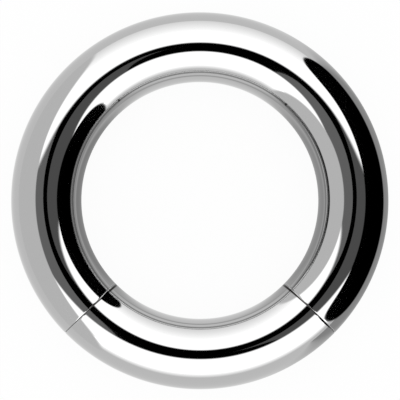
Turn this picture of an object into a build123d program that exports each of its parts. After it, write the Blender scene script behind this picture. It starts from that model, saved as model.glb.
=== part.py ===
"""Segment ring: a thick round wire ring whose bottom quarter snaps out.

The ring lies flat on the XY plane, with its axis along Z and the segment toward -Y.
The origin is the middle of the ring, on the surface it lies on. Sizes are millimetres.
"""

from build123d import *

import os
from math import cos, radians, sin

# Ring sizes
wire_diameter = 6.5
inner_diameter = 22.0
segment_angle = 90.0

# Seams between the ring body and the segment, whose ends lean in toward the hole like a wedge's
parting_gap = 0.03
rim_rounding = 0.05
end_face_draft = 2.2

# Snap pins that hold the segment, one in each of its ends
pin_diameter = 2.5
pin_length = 4.2
pin_end_chamfer = 0.2
nose_height = 0.35
bore_clearance = 0.03
dimple_clearance = 0.04

# Places worked out from the sizes
wire_radius = wire_diameter / 2
ring_radius = inner_diameter / 2 + wire_radius
outside_radius = ring_radius + wire_radius
pin_radius = pin_diameter / 2
segment_middle_angle = -90.0
sides = {"left": -1, "right": 1}


def segment_end(side):
    """The plane of one end face of the segment, pointing out of it; side is -1 left, 1 right."""
    angle = radians(segment_middle_angle + side * segment_angle / 2)
    facing = angle + side * radians(90 + end_face_draft)
    middle = (ring_radius * cos(angle), ring_radius * sin(angle), wire_radius)
    return Plane(origin=middle, z_dir=(cos(facing), sin(facing), 0)).offset(-parting_gap / 2)


def wedge(extra):
    """A block round the segment, as wide as the segment and extra at each of its ends."""
    block = Pos(Y=-outside_radius) * Box(4 * outside_radius, 2 * outside_radius, 4 * wire_diameter)
    for side in sides.values():
        block = split(block, bisect_by=segment_end(side).offset(extra), keep=Keep.BOTTOM)
    return block


def round_rims(wire):
    """The wire with the rims of its flat end faces slightly rounded."""
    end_faces = wire.faces().filter_by(GeomType.PLANE)
    return fillet(end_faces.edges(), rim_rounding)


def round_nosed_bar(radius, length):
    """A bar along Z whose round nose is centred on the origin and whose flat end is below it."""
    shank = Cylinder(radius, length - radius, align=(Align.CENTER, Align.CENTER, Align.MAX))
    return shank + Sphere(radius)


def nose_centre(side):
    """Where the middle of a pin's round nose sits."""
    return segment_end(side) * Pos(Z=nose_height - pin_radius)


def snap_pin(side):
    """A plain pin with a round nose and a chamfered flat end."""
    pin = round_nosed_bar(pin_radius, pin_length)
    flat_end = pin.faces().sort_by(Axis.Z)[0]
    return nose_centre(side) * chamfer(flat_end.edges(), pin_end_chamfer)


def pin_bore(side):
    """The blind bore that takes a pin, flat at the bottom where the pin sits."""
    depth = pin_length - nose_height
    bore = Cylinder(pin_radius + bore_clearance, depth, align=(Align.CENTER, Align.CENTER, Align.MAX))
    return segment_end(side) * bore


def dimple(side):
    """The shallow domed hollow that takes a pin's nose."""
    return nose_centre(side) * Sphere(pin_radius + dimple_clearance)


whole_ring = Pos(Z=wire_radius) * Torus(ring_radius, wire_radius)
ring_body = round_rims(whole_ring - wedge(parting_gap))
segment = round_rims(whole_ring & wedge(0))
for side in sides.values():
    ring_body -= dimple(side)
    segment -= pin_bore(side)

nodes = {"ring_body": ring_body, "segment": segment}
for name, side in sides.items():
    nodes[f"snap_pin_{name}"] = snap_pin(side)

os.makedirs("parts", exist_ok=True)
for name, shape in nodes.items():
    export_step(shape, f"parts/{name}.step")
    print(name, round(shape.volume, 3), "mm3")
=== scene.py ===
"""Mirror polished segment ring: its ring body, its snap-out segment and the pins between them."""
import math

import bmesh
import bpy
from bpy.props import FloatProperty, FloatVectorProperty, IntProperty, PointerProperty
from mathutils import Matrix, Vector


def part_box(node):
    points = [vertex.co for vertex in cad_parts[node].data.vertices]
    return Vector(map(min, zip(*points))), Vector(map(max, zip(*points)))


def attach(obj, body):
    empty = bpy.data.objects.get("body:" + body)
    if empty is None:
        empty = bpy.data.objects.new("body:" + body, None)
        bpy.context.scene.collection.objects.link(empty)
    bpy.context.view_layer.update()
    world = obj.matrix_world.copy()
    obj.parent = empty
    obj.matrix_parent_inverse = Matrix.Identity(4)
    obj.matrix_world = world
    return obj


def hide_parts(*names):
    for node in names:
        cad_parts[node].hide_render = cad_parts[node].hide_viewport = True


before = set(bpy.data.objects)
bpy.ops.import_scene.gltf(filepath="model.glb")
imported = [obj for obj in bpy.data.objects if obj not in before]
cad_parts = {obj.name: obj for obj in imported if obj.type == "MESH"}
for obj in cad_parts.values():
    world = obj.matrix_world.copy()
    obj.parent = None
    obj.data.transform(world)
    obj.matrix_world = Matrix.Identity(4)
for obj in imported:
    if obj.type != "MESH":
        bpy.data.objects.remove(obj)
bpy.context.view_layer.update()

bl_info = {
    "name": "Segment ring",
    "version": (1, 0, 0),
    "blender": (4, 5, 0),
    "location": "3D View > Sidebar > Segment ring",
    "description": "Models and finishes a polished segment ring and the studio that it lies in",
    "category": "Add Mesh",
}

MILLIMETRE = 1e-3
MICRON = 1e-6
BODY_LOW, BODY_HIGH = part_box("ring_body")
OUTSIDE_RADIUS = round(BODY_HIGH.x, 5)
WIRE_DIAMETER = round(BODY_HIGH.z - BODY_LOW.z, 5)

# Names of the two materials on each length of wire, in the order of its slots
WIRE_FINISHES = ("mirror_steel", "turned_steel")

# What the ring reflects, in millimetres from the ring's middle: each card's foot and top edge run
# from its left to its right end, as right, up and back in the camera's own directions. Light names
# the studio setting that the card glows with. A card with rounding is round at its ends: the
# shares of its width that they take, and the share of its height where it is widest. Soft is the
# share over which its outline fades, and near_fade the share over which its foot does.
CARDS = {
    "ceiling_dark": {
        "light": "dark",
        "foot": ((-1900, -900, 1520), (1900, -900, 1520)),
        "top": ((-1900, 900, 1520), (1900, 900, 1520))},
    "ceiling_left_front": {
        "light": "ceiling_left",
        "foot": ((-1900, -900, 1500), (-525, -900, 1500)),
        "top": ((-1900, 0, 1500), (-75, 0, 1500))},
    "ceiling_left_back": {
        "light": "ceiling_left",
        "foot": ((-1900, 0, 1500), (-75, 0, 1500)),
        "top": ((-1900, 900, 1500), (-615, 900, 1500))},
    "ceiling_right_front": {
        "light": "ceiling_right",
        "foot": ((710, -900, 1500), (1900, -900, 1500)),
        "top": ((80, 0, 1500), (1900, 0, 1500))},
    "ceiling_right_back": {
        "light": "ceiling_right",
        "foot": ((80, 0, 1500), (1900, 0, 1500)),
        "top": ((755, 900, 1500), (1900, 900, 1500))},
    "wall_left": {
        "light": "wall",
        "foot": ((-162, -252, -18), (-162, 252, -18)),
        "top": ((-162, -252, 290), (-162, 252, 246)),
        "rounding": (0.43, 0.43, 0.05), "soft": 0.12},
    "flag_right": {
        "light": "dark",
        "foot": ((200, -178, -100), (200, 290, -75)),
        "top": ((200, -178, 275), (200, 290, 275)),
        "rounding": (0.15, 0.2, 0.48), "soft": 0.12},
    "softbox_back": {
        "light": "softboxes",
        "foot": ((-240, 52, 250), (240, 52, 250)),
        "top": ((-900, 600, 500), (900, 600, 500)),
        "near_fade": 0.04},
    "softbox_front": {
        "light": "softboxes",
        "foot": ((-240, -58, 250), (240, -58, 250)),
        "top": ((-900, -600, 500), (900, -600, 500)),
        "near_fade": 0.04},
    "screen_back": {
        "light": "screen_back",
        "foot": ((-900, 600, -20), (900, 600, -20)),
        "top": ((-900, 600, 500), (900, 600, 500))},
    "screen_front": {
        "light": "screen_front",
        "foot": ((-900, -600, 109), (900, -600, 109)),
        "top": ((-900, -600, 500), (900, -600, 500))},
}

# Sheets that the ring reflects as its floor, the far one all round and the near one in its hole, in
# millimetres: how deep and wide they are, and how dim to the right and to the left of the middle.
# Each side's dim part widens from the middle with the slope, and fades over soft at its edge.
FLOOR_SHADES = {
    "floor_shade": {
        "depth": 150, "width": 6000, "slope": 0.84, "soft": 60, "right": 0.45, "left": 1.0},
    "hole_shade": {
        "depth": 0.5, "width": 24, "slope": 0.84, "soft": 3, "right": 0.5, "left": 0.4},
}

# Points round a pin, steps in a domed end, segments in a rounded rim and squares along a card
PIN_POINTS = 64
DOME_STEPS = 12
RIM_SEGMENTS = 4
CARD_SQUARES = 24

# Edges sharper than this stay crisp, and this much of the wire is turned into its leaned ends
SHARP_ANGLE = math.radians(35)
LEAN_REACH = math.radians(8)

# How far the polishing lines wander, in line spacings, how much finer the patches of haze are than
# that wandering, and the part of the noise that shows as haze
LINE_WANDER = 6.0
HAZE_FINENESS = 2.5
HAZE_RANGE = (0.5, 0.75)

# How strong a lathe's even feed is beside its chatter, how coarse the chatter is, and the part of
# it that shades the metal
FEED_SHARE = 0.25
CHATTER_SCALE = 0.7
CHATTER_RANGE = (0.3, 0.7)

# The painted shade in a seam is whole up to the first share of its width, and gone at the second
SEAM_SHADE_RANGE = (0.4, 1.0)

# The darkest turning marks, against the plain steel, and how much rougher they are
FACE_SHADE = 0.7
FACE_ROUGHENING = 0.1
PIN_SHADE = 0.85
PIN_ROUGHENING = 0.08

# Spots of grain to a metre of the floor's paper, their lightening and the paper's roughness
PAPER_GRAIN = 900.0
PAPER_LIGHTENING = 1.03
PAPER_ROUGHNESS = 0.9


class RingSizes(bpy.types.PropertyGroup):
    """Sizes of the wire, its seams and the pins in them."""

    wire_diameter: FloatProperty(
        name="Wire", description="Thickness of the round wire", default=WIRE_DIAMETER,
        unit="LENGTH", precision=5)
    hole_diameter: FloatProperty(
        name="Hole", description="Inside diameter of the ring",
        default=2 * (OUTSIDE_RADIUS - WIRE_DIAMETER), unit="LENGTH", precision=5)
    segment_angle: FloatProperty(
        name="Segment", description="Part of the ring that the segment takes",
        default=math.radians(90), subtype="ANGLE")
    parting_gap: FloatProperty(
        name="Parting gap", description="Gap left at each seam", default=30 * MICRON,
        unit="LENGTH", precision=6)
    rim_rounding: FloatProperty(
        name="Rim rounding", description="Radius of the edge round each end face",
        default=50 * MICRON, unit="LENGTH", precision=6)
    end_face_lean: FloatProperty(
        name="End face lean", description="How far the end faces lean in toward the hole",
        default=math.radians(2.2), subtype="ANGLE")
    pin_diameter: FloatProperty(
        name="Pin", description="Thickness of a snap pin", default=0.0025, unit="LENGTH", precision=5)
    pin_length: FloatProperty(
        name="Pin length", description="Length of a snap pin with its nose", default=0.0042,
        unit="LENGTH", precision=5)
    pin_end_chamfer: FloatProperty(
        name="Pin chamfer", description="Chamfer round the flat end of a pin", default=0.0002,
        unit="LENGTH", precision=5)
    nose_height: FloatProperty(
        name="Nose", description="How far a pin's nose stands out of the segment", default=0.00035,
        unit="LENGTH", precision=5)
    bore_clearance: FloatProperty(
        name="Bore clearance", description="Gap round a pin in its bore", default=30 * MICRON,
        unit="LENGTH", precision=6)
    dimple_clearance: FloatProperty(
        name="Dimple clearance", description="Gap round a pin's nose in its dimple",
        default=40 * MICRON, unit="LENGTH", precision=6)
    wire_points: IntProperty(
        name="Wire points", description="Points round the wire", default=160)
    steps_per_turn: IntProperty(
        name="Steps", description="Steps of the wire in a whole turn of the ring", default=720)


class FinishSettings(bpy.types.PropertyGroup):
    """Colours and textures of the steel."""

    steel: FloatVectorProperty(
        name="Steel", description="Colour that the polished steel reflects", subtype="COLOR",
        default=(0.5, 0.5, 0.5))
    polish_roughness: FloatProperty(
        name="Polish roughness", description="Roughness of the mirror polish", default=0.035,
        subtype="FACTOR")
    haze: FloatProperty(
        name="Haze", description="Roughness that handling adds in faint patches", default=0.015,
        subtype="FACTOR")
    haze_size: FloatProperty(
        name="Haze size", description="Size of the patches of haze", default=0.006, unit="LENGTH")
    line_spacing: FloatProperty(
        name="Polishing lines", description="Spacing of the finest polishing lines",
        default=90 * MICRON, unit="LENGTH", precision=6)
    line_depth: FloatProperty(
        name="Line depth", description="Depth of the polishing lines", default=0.02 * MICRON,
        unit="LENGTH", precision=9)
    turned_roughness: FloatProperty(
        name="Turned roughness", description="Roughness of the turned end faces",
        default=0.22, subtype="FACTOR")
    turning_spacing: FloatProperty(
        name="Turning marks", description="Spacing of the marks that the lathe leaves",
        default=160 * MICRON, unit="LENGTH", precision=6)
    turning_depth: FloatProperty(
        name="Mark depth", description="Depth of the turning marks", default=3 * MICRON,
        unit="LENGTH", precision=7)
    pin_roughness: FloatProperty(
        name="Pin roughness", description="Roughness of the pins, rubbed brighter than the end faces",
        default=0.11, subtype="FACTOR")
    pin_mark_depth: FloatProperty(
        name="Pin mark depth", description="Depth of the turning marks on the pins",
        default=1 * MICRON, unit="LENGTH", precision=7)
    # Painted shade: a near-black colour laid along each seam, standing in for the shade in the gap
    # between the parts
    painted_shade: FloatVectorProperty(
        name="Seam residue", description="Colour of the polishing paste left in the seams",
        subtype="COLOR", default=(0.03, 0.028, 0.026))
    # How far the painted seam shade reaches from each seam
    painted_shade_width: FloatProperty(
        name="Residue width", description="How far the paste reaches from each seam",
        default=75 * MICRON, unit="LENGTH", precision=6)
    # How much wider the painted seam shade is toward the hole
    painted_shade_taper: FloatProperty(
        name="Residue taper", description="How much more paste there is toward the hole",
        default=0.95, subtype="FACTOR")


class StudioSettings(bpy.types.PropertyGroup):
    """The floor, the lights and the camera."""

    floor: FloatVectorProperty(
        name="Floor", description="Colour of the pale floor", subtype="COLOR",
        default=(0.06, 0.06, 0.06))
    floor_glow: FloatProperty(
        name="Floor glow", description="Light that comes through the translucent floor",
        default=0.94)
    floor_size: FloatProperty(
        name="Floor size", description="Width of the floor", default=6.0, unit="LENGTH")
    surround: FloatProperty(
        name="Surround", description="Brightness of the white tent around the ring", default=0.95)
    softboxes: FloatVectorProperty(
        name="Softboxes", description="Brightness of the two softboxes, low down and high up",
        size=2, default=(2.1, 2.1))
    screen_back: FloatVectorProperty(
        name="Back screen", description="Brightness of the screen at the back, low down and high up",
        size=2, default=(1.27, 2.08))
    screen_front: FloatVectorProperty(
        name="Front screen", description="Brightness of the front screen, low down and high up",
        size=2, default=(0.97, 3.45))
    ceiling_left: FloatVectorProperty(
        name="Ceiling left", description="Brightness of the dim room above on the left, at the "
        "front and the back of each card", size=2, default=(0.22, 0.22))
    ceiling_right: FloatVectorProperty(
        name="Ceiling right", description="Brightness of the dim room above on the right, at the "
        "front and the back of each card", size=2, default=(0.13, 0.13))
    wall: FloatVectorProperty(
        name="Left wall", description="Brightness of the grey wall, low down and high up",
        size=2, default=(0.88, 0.88))
    dark: FloatVectorProperty(
        name="Dark cards", description="Brightness of the flag and of the gap in the ceiling",
        size=2, default=(0.0, 0.0))
    camera_distance: FloatProperty(
        name="Camera distance", description="From the camera to the ring", default=0.167,
        unit="LENGTH")
    nearest_seen: FloatProperty(
        name="Nearest seen", description="Distance from which the camera sees anything", default=0.01,
        unit="LENGTH")
    camera_tilt: FloatProperty(
        name="Camera tilt", description="How far the camera stands off the ring's axis",
        default=math.radians(2.8), subtype="ANGLE")
    camera_side: FloatProperty(
        name="Camera side", description="The way the camera leans, from -Y toward -X",
        default=math.radians(18), subtype="ANGLE")
    picture_width: FloatProperty(
        name="Picture width", description="What the picture takes in at the ring",
        default=0.03713, unit="LENGTH", precision=5)


def settings():
    """The sizes, finishes and studio of this scene."""
    scene = bpy.context.scene
    return scene.ring_sizes, scene.ring_finish, scene.ring_studio


def wire_radius(sizes):
    """Half the thickness of the wire."""
    return sizes.wire_diameter / 2


def ring_radius(sizes):
    """From the ring's axis to the middle of its wire."""
    return (sizes.hole_diameter + sizes.wire_diameter) / 2


def pin_radius(sizes):
    """Half the thickness of a pin."""
    return sizes.pin_diameter / 2


def seam_angle(sizes, side):
    """The way from the ring's middle to a seam; side is -1 left, 1 right."""
    return -math.pi / 2 + side * sizes.segment_angle / 2


# Modelling


def clear_selection():
    """Deselects everything, so that the next operator acts on its own piece."""
    bpy.ops.object.select_all(action="DESELECT")


def name_piece(name):
    """Names the new object and its mesh, and puts its place into its mesh."""
    piece = bpy.context.object
    piece.name = name
    piece.data.name = name
    bpy.ops.object.transform_apply(location=True, rotation=True, scale=True)
    return piece


def select_faces(piece, wanted):
    """In edit mode, selects just the faces that wanted() is true for."""
    bpy.ops.mesh.select_mode(type="FACE")
    mesh = bmesh.from_edit_mesh(piece.data)
    for face in mesh.faces:
        face.select_set(wanted(face))
    bmesh.update_edit_mesh(piece.data)


def has_corners(count):
    """A test that is true for faces with so many corners."""
    return lambda face: len(face.verts) == count


def push_dome(piece, corners, radius, first_angle, outward):
    """Turns each selected flat round face into a part of a ball, from first_angle to its pole."""
    angles = [first_angle * (1 - step / DOME_STEPS) for step in range(DOME_STEPS)]
    for angle, smaller in zip(angles, angles[1:]):
        bpy.ops.mesh.inset(
            thickness=radius * (math.sin(angle) - math.sin(smaller)),
            depth=outward * radius * (math.cos(smaller) - math.cos(angle)),
            use_individual=True)
    select_faces(piece, has_corners(corners))
    bpy.ops.mesh.poke(offset=outward * radius * (1 - math.cos(angles[-1])))


def finish_normals(piece):
    """Smooth shading that keeps flat faces flat beside their rounded rims."""
    bpy.ops.object.mode_set(mode="OBJECT")
    bpy.ops.object.shade_smooth_by_angle(angle=SHARP_ANGLE)
    weighted = piece.modifiers.new("weighted normals", "WEIGHTED_NORMAL")
    weighted.keep_sharp = True
    bpy.ops.object.modifier_apply(modifier=weighted.name)


def lean_ends(piece, sizes, offset):
    """Slides the ends of a wire round the ring until each lies in its leaned seam, offset from it."""
    lean = sizes.end_face_lean
    mesh = bmesh.from_edit_mesh(piece.data)
    for vertex in mesh.verts:
        x, y, _ = vertex.co
        from_front = math.atan2(x, -y)
        away = abs(abs(from_front) - sizes.segment_angle / 2)
        if away < LEAN_REACH:
            behind = (ring_radius(sizes) * math.sin(lean) - offset) / math.hypot(x, y)
            shift = (lean - math.asin(behind)) * (1 - away / LEAN_REACH)
            vertex.co = Matrix.Rotation(math.copysign(shift, from_front), 3, "Z") @ vertex.co
    bmesh.update_edit_mesh(piece.data)


def spin_wire(name, sizes, last_angle, arc, offset):
    """A length of round wire with leaned ends and rounded rims, spun clockwise from last_angle."""
    clear_selection()
    distance = ring_radius(sizes)
    place = (distance * math.cos(last_angle), distance * math.sin(last_angle), wire_radius(sizes))
    bpy.ops.mesh.primitive_circle_add(
        vertices=sizes.wire_points, radius=wire_radius(sizes), fill_type="NOTHING",
        location=place, rotation=(math.pi / 2, 0, last_angle))
    piece = name_piece(name)
    bpy.ops.object.mode_set(mode="EDIT")
    bpy.ops.mesh.select_mode(type="VERT")
    bpy.ops.mesh.select_all(action="SELECT")
    steps = round(sizes.steps_per_turn * arc / math.tau)
    bpy.ops.mesh.spin(steps=steps, angle=arc, center=(0, 0, 0), axis=(0, 0, 1))
    bpy.ops.mesh.select_all(action="SELECT")
    bpy.ops.mesh.fill_holes(sides=0)
    bpy.ops.mesh.select_all(action="SELECT")
    lean_ends(piece, sizes, offset)
    bpy.ops.mesh.normals_make_consistent(inside=False)
    select_faces(piece, has_corners(sizes.wire_points))
    bpy.ops.mesh.region_to_loop()
    bpy.ops.mesh.bevel(
        offset=sizes.rim_rounding, segments=RIM_SEGMENTS, profile=0.5, affect="EDGES")
    select_faces(piece, has_corners(sizes.wire_points))
    return piece


def cut_dimples(piece, sizes):
    """The shallow domed hollow in each end face of the ring body."""
    ball = pin_radius(sizes) + sizes.dimple_clearance
    centre_depth = pin_radius(sizes) - sizes.nose_height + sizes.parting_gap
    rim_angle = math.acos(centre_depth / ball)
    face_radius = wire_radius(sizes) - sizes.rim_rounding
    bpy.ops.mesh.inset(thickness=face_radius - ball * math.sin(rim_angle), use_individual=True)
    push_dome(piece, sizes.wire_points, ball, rim_angle, outward=-1)


def cut_bores(piece, sizes):
    """The blind bore in each end face of the segment, with its mouth eased."""
    bore_radius = pin_radius(sizes) + sizes.bore_clearance
    ease = sizes.bore_clearance
    face_radius = wire_radius(sizes) - sizes.rim_rounding
    bpy.ops.mesh.inset(thickness=face_radius - bore_radius - ease, use_individual=True)
    bpy.ops.mesh.inset(thickness=ease, depth=-ease, use_individual=True)
    depth = sizes.pin_length - sizes.nose_height - ease
    bpy.ops.mesh.extrude_faces_move(TRANSFORM_OT_shrink_fatten={"value": -depth})


def paint_wire(piece, sizes, finishes):
    """Mirror steel round the wire, turned steel on the end faces and inside their hollows."""
    for finish in finishes:
        piece.data.materials.append(finish)
    polished_from = wire_radius(sizes) - sizes.rim_rounding / 2
    for face in piece.data.polygons:
        across = face.center.xy.length - ring_radius(sizes)
        upward = face.center.z - wire_radius(sizes)
        if math.hypot(across, upward) < polished_from:
            face.material_index = WIRE_FINISHES.index("turned_steel")


def segment_end(sizes, side):
    """Middle of one end face of the segment, and the way the face points; side is -1 left, 1 right."""
    angle = seam_angle(sizes, side)
    facing = angle + side * (math.pi / 2 + sizes.end_face_lean)
    outward = Vector((math.cos(facing), math.sin(facing), 0))
    middle = Vector((math.cos(angle), math.sin(angle), 0)) * ring_radius(sizes)
    middle.z = wire_radius(sizes)
    return middle - outward * sizes.parting_gap / 2, outward


def add_pin(name, sizes, side):
    """A plain round pin, seated in the segment's bore with its round nose standing out."""
    clear_selection()
    mouth, outward = segment_end(sizes, side)
    shank = sizes.pin_length - pin_radius(sizes)
    middle = mouth + outward * (sizes.nose_height - pin_radius(sizes) - shank / 2)
    bpy.ops.mesh.primitive_cylinder_add(
        vertices=PIN_POINTS, radius=pin_radius(sizes), depth=shank, end_fill_type="NGON",
        location=middle, rotation=outward.to_track_quat("Z", "Y").to_euler())
    piece = name_piece(name)
    bpy.ops.object.mode_set(mode="EDIT")
    is_end = has_corners(PIN_POINTS)
    select_faces(piece, lambda face: is_end(face) and face.normal.dot(outward) < 0)
    bpy.ops.mesh.inset(thickness=sizes.pin_end_chamfer)
    bpy.ops.transform.translate(value=outward * -sizes.pin_end_chamfer)
    bpy.ops.mesh.select_all(action="DESELECT")
    select_faces(piece, lambda face: is_end(face) and face.normal.dot(outward) > 0)
    push_dome(piece, PIN_POINTS, pin_radius(sizes), math.pi / 2, outward=1)
    finish_normals(piece)
    return piece


# Shader node groups


class NodeGroup:
    """A shader node group that is built once, with short calls that add and join its nodes."""

    def __init__(self, name, inputs, outputs):
        self.tree = bpy.data.node_groups.new(name, "ShaderNodeTree")
        for socket, kind in inputs.items():
            self.tree.interface.new_socket(socket, in_out="INPUT", socket_type=f"NodeSocket{kind}")
        for socket, kind in outputs.items():
            self.tree.interface.new_socket(socket, in_out="OUTPUT", socket_type=f"NodeSocket{kind}")
        self.inputs = self.tree.nodes.new("NodeGroupInput").outputs
        self.outputs = self.tree.nodes.new("NodeGroupOutput").inputs

    def put(self, name, value):
        """Gives an output of the group its value."""
        self.tree.links.new(value, self.outputs[name])


def connect(tree, socket, value):
    """Links an output to a socket, or sets the socket to a plain value."""
    if isinstance(value, bpy.types.NodeSocket):
        tree.links.new(value, socket)
    else:
        socket.default_value = value


def maths(tree, operation, *values):
    """A maths node's result."""
    node = tree.nodes.new("ShaderNodeMath")
    node.operation = operation
    for socket, value in zip(node.inputs, values):
        connect(tree, socket, value)
    return node.outputs["Value"]


def length(tree, vector):
    """How long a vector is."""
    node = tree.nodes.new("ShaderNodeVectorMath")
    node.operation = "LENGTH"
    connect(tree, node.inputs[0], vector)
    return node.outputs["Value"]


def split(tree, vector):
    """A vector's three parts."""
    node = tree.nodes.new("ShaderNodeSeparateXYZ")
    connect(tree, node.inputs[0], vector)
    return node.outputs["X"], node.outputs["Y"], node.outputs["Z"]


def join(tree, x=0.0, y=0.0, z=0.0):
    """A vector from its parts."""
    node = tree.nodes.new("ShaderNodeCombineXYZ")
    for socket, value in zip(node.inputs, (x, y, z)):
        connect(tree, socket, value)
    return node.outputs["Vector"]


def ramp(tree, value, low, high, to_low=0.0, to_high=1.0):
    """Smooth step of a value from low to high."""
    node = tree.nodes.new("ShaderNodeMapRange")
    node.interpolation_type = "SMOOTHSTEP"
    for name, number in (("Value", value), ("From Min", low), ("From Max", high),
                         ("To Min", to_low), ("To Max", to_high)):
        connect(tree, node.inputs[name], number)
    return node.outputs["Result"]


def noise(tree, vector, scale, detail, roughness=0.5):
    """Soft random values round 0.5, with scale spots to a unit of the vector."""
    node = tree.nodes.new("ShaderNodeTexNoise")
    connect(tree, node.inputs["Vector"], vector)
    connect(tree, node.inputs["Scale"], scale)
    node.inputs["Detail"].default_value = detail
    node.inputs["Roughness"].default_value = roughness
    return node.outputs["Fac"]


def wire_place_group():
    """Where a point lies in the wire's own section: outward, upward and from its middle."""
    group = NodeGroup(
        "wire_place",
        {"Vector": "Vector", "Ring Radius": "Float", "Wire Radius": "Float"},
        {"Outward": "Float", "Upward": "Float", "From Middle": "Float"})
    tree = group.tree
    x, y, z = split(tree, group.inputs["Vector"])
    from_axis = length(tree, join(tree, x, y))
    outward = maths(tree, "SUBTRACT", from_axis, group.inputs["Ring Radius"])
    upward = maths(tree, "SUBTRACT", z, group.inputs["Wire Radius"])
    group.put("Outward", outward)
    group.put("Upward", upward)
    group.put("From Middle", length(tree, join(tree, outward, upward)))
    return group.tree


def polishing_group(wire_place):
    """Fine lines that run along the wire, as the buffing wheel leaves them, and faint patches of haze."""
    group = NodeGroup(
        "polishing",
        {"Vector": "Vector", "Ring Radius": "Float", "Wire Radius": "Float",
         "Line Spacing": "Float", "Patch Size": "Float"},
        {"Lines": "Float", "Haze": "Float"})
    tree = group.tree
    place = tree.nodes.new("ShaderNodeGroup")
    place.node_tree = wire_place
    for name in ("Vector", "Ring Radius", "Wire Radius"):
        connect(tree, place.inputs[name], group.inputs[name])
    patches = maths(tree, "DIVIDE", 1.0, group.inputs["Patch Size"])
    drift = noise(tree, group.inputs["Vector"], patches, detail=1.0)
    fineness = maths(tree, "DIVIDE", 1.0, group.inputs["Line Spacing"])
    across = join(
        tree,
        maths(tree, "MULTIPLY", place.outputs["Outward"], fineness),
        maths(tree, "MULTIPLY", place.outputs["Upward"], fineness),
        maths(tree, "MULTIPLY", drift, LINE_WANDER))
    group.put("Lines", noise(tree, across, 1.0, detail=4.0, roughness=0.6))
    finer = maths(tree, "MULTIPLY", patches, HAZE_FINENESS)
    cloudy = noise(tree, group.inputs["Vector"], finer, detail=5.0)
    group.put("Haze", ramp(tree, cloudy, *HAZE_RANGE))
    return group.tree


def turning_group():
    """Rings that a lathe leaves round a face's middle or along a round bar."""
    group = NodeGroup(
        "turning", {"Distance": "Float", "Spacing": "Float"}, {"Height": "Float", "Shade": "Float"})
    tree = group.tree
    turns = maths(tree, "DIVIDE", group.inputs["Distance"], group.inputs["Spacing"])
    feed = maths(tree, "SINE", maths(tree, "MULTIPLY", turns, math.tau))
    chatter = noise(tree, join(tree, turns), CHATTER_SCALE, detail=6.0, roughness=0.7)
    height = maths(tree, "ADD", maths(tree, "MULTIPLY", feed, FEED_SHARE), chatter)
    group.put("Height", height)
    group.put("Shade", ramp(tree, chatter, *CHATTER_RANGE))
    return group.tree


def seam_group():
    """How near a point lies to one of the two seams, from 0 to 1."""
    group = NodeGroup(
        "seam",
        {"Vector": "Vector", "Facing": "Float", "Ring Offset": "Float", "Width": "Float"},
        {"Mask": "Float"})
    tree = group.tree
    x, y, _ = split(tree, group.inputs["Vector"])
    sideways = maths(
        tree, "MULTIPLY", maths(tree, "ABSOLUTE", x), maths(tree, "COSINE", group.inputs["Facing"]))
    along = maths(tree, "MULTIPLY", y, maths(tree, "SINE", group.inputs["Facing"]))
    place = maths(tree, "ADD", maths(tree, "ADD", sideways, along), group.inputs["Ring Offset"])
    near = maths(tree, "DIVIDE", maths(tree, "ABSOLUTE", place), group.inputs["Width"])
    group.put("Mask", ramp(tree, near, *SEAM_SHADE_RANGE, 1.0, 0.0))
    return group.tree


# Materials


def new_material(name):
    """A material with only its Principled shader and its output."""
    material = bpy.data.materials.new(name)
    material.use_nodes = True
    tree = material.node_tree
    return material, tree, tree.nodes["Principled BSDF"]


def use_group(tree, group, **values):
    """A group placed in a material with its own values, and what it puts out."""
    node = tree.nodes.new("ShaderNodeGroup")
    node.node_tree = group
    for name, value in values.items():
        connect(tree, node.inputs[name.replace("_", " ")], value)
    return node.outputs


def object_place(tree):
    """Where a point lies on its piece."""
    return tree.nodes.new("ShaderNodeTexCoord").outputs["Object"]


def bump(tree, height, depth):
    """The normal of a surface with marks of a given depth."""
    node = tree.nodes.new("ShaderNodeBump")
    node.inputs["Strength"].default_value = 1.0
    node.inputs["Distance"].default_value = depth
    connect(tree, node.inputs["Height"], height)
    return node.outputs["Normal"]


def mix_colour(tree, factor, first, second):
    """The first colour where the factor is 0, and the second where it is 1."""
    node = tree.nodes.new("ShaderNodeMix")
    node.data_type = "RGBA"
    connect(tree, node.inputs["Factor"], factor)
    connect(tree, node.inputs["A"], first)
    connect(tree, node.inputs["B"], second)
    return node.outputs["Result"]


def colour(values, share=1.0):
    """A colour as a socket takes it, made darker or lighter by a share."""
    return (*(share * part for part in values), 1.0)


def mirror_steel(sizes, finish, groups):
    """Steel buffed to a mirror, with the faintest lines along the wire and painted shade in the seams."""
    material, tree, steel = new_material("mirror_steel")
    place = object_place(tree)
    marks = use_group(
        tree, groups["polishing"], Vector=place, Ring_Radius=ring_radius(sizes),
        Wire_Radius=wire_radius(sizes), Line_Spacing=finish.line_spacing,
        Patch_Size=finish.haze_size)
    section = use_group(
        tree, groups["wire_place"], Vector=place, Ring_Radius=ring_radius(sizes),
        Wire_Radius=wire_radius(sizes))
    taper = -finish.painted_shade_taper * finish.painted_shade_width / wire_radius(sizes)
    lean = sizes.end_face_lean
    seam = use_group(
        tree, groups["seam"], Vector=place, Facing=sizes.segment_angle / 2 + lean,
        Ring_Offset=ring_radius(sizes) * math.sin(lean),
        Width=maths(tree, "MULTIPLY_ADD", section["Outward"], taper, finish.painted_shade_width))
    steel.inputs["Metallic"].default_value = 1.0
    # Painted shade: the base colour darkens to the seam shade colour along each seam, widest toward the
    # hole
    connect(tree, steel.inputs["Base Color"], mix_colour(
        tree, seam["Mask"], colour(finish.steel), colour(finish.painted_shade)))
    connect(tree, steel.inputs["Roughness"], maths(
        tree, "MULTIPLY_ADD", marks["Haze"], finish.haze, finish.polish_roughness))
    connect(tree, steel.inputs["Normal"], bump(tree, marks["Lines"], finish.line_depth))
    return material


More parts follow.
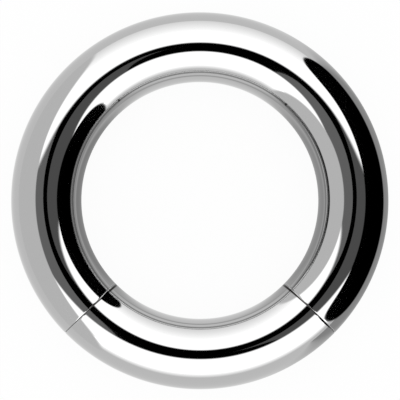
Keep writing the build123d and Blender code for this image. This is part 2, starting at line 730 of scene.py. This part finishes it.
def turned_steel(sizes, finish, groups):
    """The end faces and the hollows in them, faced on a lathe and left satin."""
    material, tree, steel = new_material("turned_steel")
    place = use_group(
        tree, groups["wire_place"], Vector=object_place(tree), Ring_Radius=ring_radius(sizes),
        Wire_Radius=wire_radius(sizes))
    marks = use_group(
        tree, groups["turning"], Distance=place["From Middle"], Spacing=finish.turning_spacing)
    steel.inputs["Metallic"].default_value = 1.0
    connect(tree, steel.inputs["Base Color"], mix_colour(
        tree, marks["Shade"], colour(finish.steel), colour(finish.steel, FACE_SHADE)))
    connect(tree, steel.inputs["Roughness"], maths(
        tree, "MULTIPLY_ADD", marks["Shade"], FACE_ROUGHENING, finish.turned_roughness))
    connect(tree, steel.inputs["Normal"], bump(tree, marks["Height"], finish.turning_depth))
    return material


def pin_steel(sizes, finish, groups):
    """The pins: bar steel with turning marks along it, rubbed bright."""
    material, tree, steel = new_material("pin_steel")
    x, y, _ = split(tree, object_place(tree))
    facing = sizes.segment_angle / 2 + sizes.end_face_lean
    along = maths(
        tree, "MULTIPLY_ADD", maths(tree, "ABSOLUTE", x), math.cos(facing),
        maths(tree, "MULTIPLY", y, math.sin(facing)))
    marks = use_group(tree, groups["turning"], Distance=along, Spacing=finish.turning_spacing)
    steel.inputs["Metallic"].default_value = 1.0
    connect(tree, steel.inputs["Base Color"], mix_colour(
        tree, marks["Shade"], colour(finish.steel), colour(finish.steel, PIN_SHADE)))
    connect(tree, steel.inputs["Roughness"], maths(
        tree, "MULTIPLY_ADD", marks["Shade"], PIN_ROUGHENING, finish.pin_roughness))
    connect(tree, steel.inputs["Normal"], bump(tree, marks["Height"], finish.pin_mark_depth))
    return material


def ring_materials():
    """The three steels, built once and shared by the pieces."""
    sizes, finish, _ = settings()
    if "mirror_steel" not in bpy.data.materials:
        place = wire_place_group()
        groups = {"wire_place": place, "polishing": polishing_group(place),
                  "turning": turning_group(), "seam": seam_group()}
        mirror_steel(sizes, finish, groups)
        turned_steel(sizes, finish, groups)
        pin_steel(sizes, finish, groups)
    return bpy.data.materials


# Studio


def camera_place(sizes, studio):
    """The picture's right, up and back directions from the ring's middle, as a matrix."""
    lean, side = studio.camera_tilt, studio.camera_side
    back = Vector((-math.sin(lean) * math.sin(side), -math.sin(lean) * math.cos(side), math.cos(lean)))
    up = Vector((0, 1, 0))
    up = (up - up.dot(back) * back).normalized()
    turn = Matrix((up.cross(back), up, back)).transposed()
    return Matrix.Translation((0, 0, wire_radius(sizes))) @ turn.to_4x4()


def rounded_mask(tree, across, along, left, right, widest, soft):
    """1 on a card with round ends and 0 outside it; the ends are widest at one share of its height."""
    into_left = maths(tree, "DIVIDE", maths(tree, "SUBTRACT", left, across), left)
    into_right = maths(tree, "DIVIDE", maths(tree, "SUBTRACT", across, 1 - right), right)
    outward = maths(tree, "MAXIMUM", maths(tree, "MAXIMUM", into_left, into_right), 0.0)
    above = maths(tree, "DIVIDE", maths(tree, "SUBTRACT", along, widest), 1 - widest)
    below = maths(tree, "DIVIDE", maths(tree, "SUBTRACT", widest, along), widest)
    corner = join(tree, outward, maths(tree, "MAXIMUM", above, below))
    return ramp(tree, length(tree, corner), 1 - soft, 1.0, 1.0, 0.0)


def new_glow(name):
    """A material that only glows, and the sockets that take its brightness and its mask."""
    material = bpy.data.materials.new(name)
    material.use_nodes = True
    tree = material.node_tree
    tree.nodes.clear()
    clear = tree.nodes.new("ShaderNodeBsdfTransparent")
    glow = tree.nodes.new("ShaderNodeEmission")
    mix = tree.nodes.new("ShaderNodeMixShader")
    mix.inputs["Fac"].default_value = 1.0
    tree.links.new(clear.outputs["BSDF"], mix.inputs[1])
    tree.links.new(glow.outputs["Emission"], mix.inputs[2])
    output = tree.nodes.new("ShaderNodeOutputMaterial")
    tree.links.new(mix.outputs["Shader"], output.inputs["Surface"])
    return material, glow.inputs["Strength"], mix.inputs["Fac"]


def card_glow(name, lights):
    """A glow whose light runs from a card's foot to its top, masked as CARDS says."""
    material, brightness, mask = new_glow(name)
    tree = material.node_tree
    card = CARDS[name]
    across, along, _ = split(tree, tree.nodes.new("ShaderNodeTexCoord").outputs["UV"])
    low, high = lights
    connect(tree, brightness, maths(tree, "MULTIPLY_ADD", along, high - low, low))
    if "rounding" in card:
        connect(tree, mask, rounded_mask(tree, across, along, *card["rounding"], card["soft"]))
    if "near_fade" in card:
        connect(tree, mask, ramp(tree, along, 0.0, card["near_fade"]))
    return material


def only_in_reflections(card):
    """The ring reflects the card, but the card is not seen, and neither lights nor shades the floor."""
    card.visible_camera = False
    card.visible_diffuse = False
    card.visible_transmission = False
    card.visible_volume_scatter = False
    card.visible_shadow = False


def hang_card(name, place, studio):
    """A card between its foot and its top edge, glowing with its own light."""
    clear_selection()
    bpy.ops.mesh.primitive_grid_add(x_subdivisions=CARD_SQUARES, y_subdivisions=CARD_SQUARES, size=1)
    sheet = name_piece(name)
    card = CARDS[name]
    foot, top = ([Vector(corner) * MILLIMETRE for corner in card[edge]] for edge in ("foot", "top"))
    for vertex in sheet.data.vertices:
        across, along = vertex.co.x + 0.5, vertex.co.y + 0.5
        vertex.co = place @ foot[0].lerp(foot[1], across).lerp(top[0].lerp(top[1], across), along)
    sheet.data.materials.append(card_glow(name, getattr(studio, card["light"])))
    only_in_reflections(sheet)


def lay_floor_shade(name, studio):
    """A sheet that only the ring reflects, dimmer to the right and the left of the middle."""
    clear_selection()
    shade = FLOOR_SHADES[name]
    bpy.ops.mesh.primitive_plane_add(
        size=shade["width"] * MILLIMETRE, location=(0, 0, -shade["depth"] * MILLIMETRE))
    sheet = name_piece(name)
    material, brightness, _ = new_glow(name)
    tree = material.node_tree
    x, y, _ = split(tree, object_place(tree))
    beside = maths(tree, "MULTIPLY", maths(tree, "ABSOLUTE", y), -shade["slope"])
    soft = shade["soft"] * MILLIMETRE
    light = studio.surround
    for side, toward in (("right", x), ("left", maths(tree, "MULTIPLY", x, -1.0))):
        dimming = ramp(tree, maths(tree, "ADD", toward, beside), -soft, soft, 1.0, shade[side])
        light = maths(tree, "MULTIPLY", dimming, light)
    connect(tree, brightness, light)
    sheet.data.materials.append(material)
    only_in_reflections(sheet)


def lay_floor(studio):
    """A pale translucent floor, softly lit from below."""
    clear_selection()
    bpy.ops.mesh.primitive_plane_add(size=studio.floor_size)
    floor = bpy.context.object
    floor.name = "floor"
    material, tree, paper = new_material("pale_floor")
    grain = noise(tree, object_place(tree), PAPER_GRAIN, detail=3.0)
    connect(tree, paper.inputs["Base Color"], mix_colour(
        tree, grain, colour(studio.floor), colour(studio.floor, PAPER_LIGHTENING)))
    paper.inputs["Roughness"].default_value = PAPER_ROUGHNESS
    paper.inputs["Specular IOR Level"].default_value = 0.0
    paper.inputs["Emission Color"].default_value = colour((1, 1, 1))
    paper.inputs["Emission Strength"].default_value = studio.floor_glow
    floor.data.materials.append(material)
    floor.visible_glossy = False
    for name in FLOOR_SHADES:
        lay_floor_shade(name, studio)


def light_tent(studio):
    """The even white surround, which also lights the floor."""
    world = bpy.data.worlds.new("white_tent")
    world.use_nodes = True
    background = world.node_tree.nodes["Background"]
    background.inputs["Color"].default_value = colour((1, 1, 1))
    background.inputs["Strength"].default_value = studio.surround
    bpy.context.scene.world = world


def hang_rig(sizes, studio):
    """The two softboxes over the ring, and the screens, dim ceiling, wall and dark flag round them."""
    place = camera_place(sizes, studio)
    for name in CARDS:
        hang_card(name, place, studio)


def place_camera(sizes, studio):
    """Nearly straight above the ring, with +Y up in the picture."""
    place = camera_place(sizes, studio) @ Matrix.Translation((0, 0, studio.camera_distance))
    bpy.ops.object.camera_add()
    camera = bpy.context.object
    camera.name = "camera"
    camera.matrix_world = place
    camera.data.lens = camera.data.sensor_width * studio.camera_distance / studio.picture_width
    camera.data.clip_start = studio.nearest_seen
    scene = bpy.context.scene
    scene.camera = camera
    scene.view_settings.view_transform = "Standard"


# Operators


class RING_OT_body(bpy.types.Operator):
    """Model the ring body, with a dimple in each end face"""

    bl_idname = "segment_ring.body"
    bl_label = "Ring body"

    def execute(self, context):
        sizes, _, _ = settings()
        arc = math.tau - sizes.segment_angle
        last_angle = math.tau + seam_angle(sizes, -1)
        piece = spin_wire("ring_body_steel", sizes, last_angle, arc, sizes.parting_gap / 2)
        cut_dimples(piece, sizes)
        finish_normals(piece)
        paint_wire(piece, sizes, [ring_materials()[name] for name in WIRE_FINISHES])
        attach(piece, "ring")
        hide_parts("ring_body")
        return {"FINISHED"}


class RING_OT_segment(bpy.types.Operator):
    """Model the segment, with a bore in each end face"""

    bl_idname = "segment_ring.segment"
    bl_label = "Segment"

    def execute(self, context):
        sizes, _, _ = settings()
        last_angle = seam_angle(sizes, 1)
        piece = spin_wire(
            "segment_steel", sizes, last_angle, sizes.segment_angle, -sizes.parting_gap / 2)
        cut_bores(piece, sizes)
        finish_normals(piece)
        paint_wire(piece, sizes, [ring_materials()[name] for name in WIRE_FINISHES])
        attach(piece, "segment")
        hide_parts("segment")
        return {"FINISHED"}


class RING_OT_pins(bpy.types.Operator):
    """Model the two snap pins in the segment's bores"""

    bl_idname = "segment_ring.pins"
    bl_label = "Snap pins"

    def execute(self, context):
        sizes, _, _ = settings()
        for word, side in (("left", -1), ("right", 1)):
            piece = add_pin(f"snap_pin_{word}_steel", sizes, side)
            piece.data.materials.append(ring_materials()["pin_steel"])
            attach(piece, "segment")
            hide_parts(f"snap_pin_{word}")
        return {"FINISHED"}


class RING_OT_studio(bpy.types.Operator):
    """Lay the pale floor, hang the softboxes and cards, and place the camera"""

    bl_idname = "segment_ring.studio"
    bl_label = "Studio"

    def execute(self, context):
        sizes, _, studio = settings()
        lay_floor(studio)
        light_tent(studio)
        hang_rig(sizes, studio)
        place_camera(sizes, studio)
        return {"FINISHED"}


class RING_PT_panel(bpy.types.Panel):
    """Sizes, finishes and the steps that build the ring"""

    bl_label = "Segment ring"
    bl_space_type = "VIEW_3D"
    bl_region_type = "UI"
    bl_category = "Segment ring"

    def draw(self, context):
        for group in settings():
            box = self.layout.box()
            for name in group.bl_rna.properties.keys():
                if name not in {"rna_type", "name"}:
                    box.prop(group, name)
        for operator in STEPS:
            self.layout.operator(operator.bl_idname)


GROUPS = (
    ("ring_sizes", RingSizes),
    ("ring_finish", FinishSettings),
    ("ring_studio", StudioSettings),
)
STEPS = (RING_OT_body, RING_OT_segment, RING_OT_pins, RING_OT_studio)


def register():
    """Makes the settings, the operators and the panel known to Blender."""
    for name, group in GROUPS:
        bpy.utils.register_class(group)
        setattr(bpy.types.Scene, name, PointerProperty(type=group))
    for operator in (*STEPS, RING_PT_panel):
        bpy.utils.register_class(operator)


def unregister():
    """Takes the settings, the operators and the panel out again."""
    for operator in reversed((*STEPS, RING_PT_panel)):
        bpy.utils.unregister_class(operator)
    for name, group in reversed(GROUPS):
        delattr(bpy.types.Scene, name)
        bpy.utils.unregister_class(group)


def main():
    """Models the ring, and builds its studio."""
    register()
    bpy.ops.segment_ring.body()
    bpy.ops.segment_ring.segment()
    bpy.ops.segment_ring.pins()
    bpy.ops.segment_ring.studio()


if __name__ == "__main__":
    main()
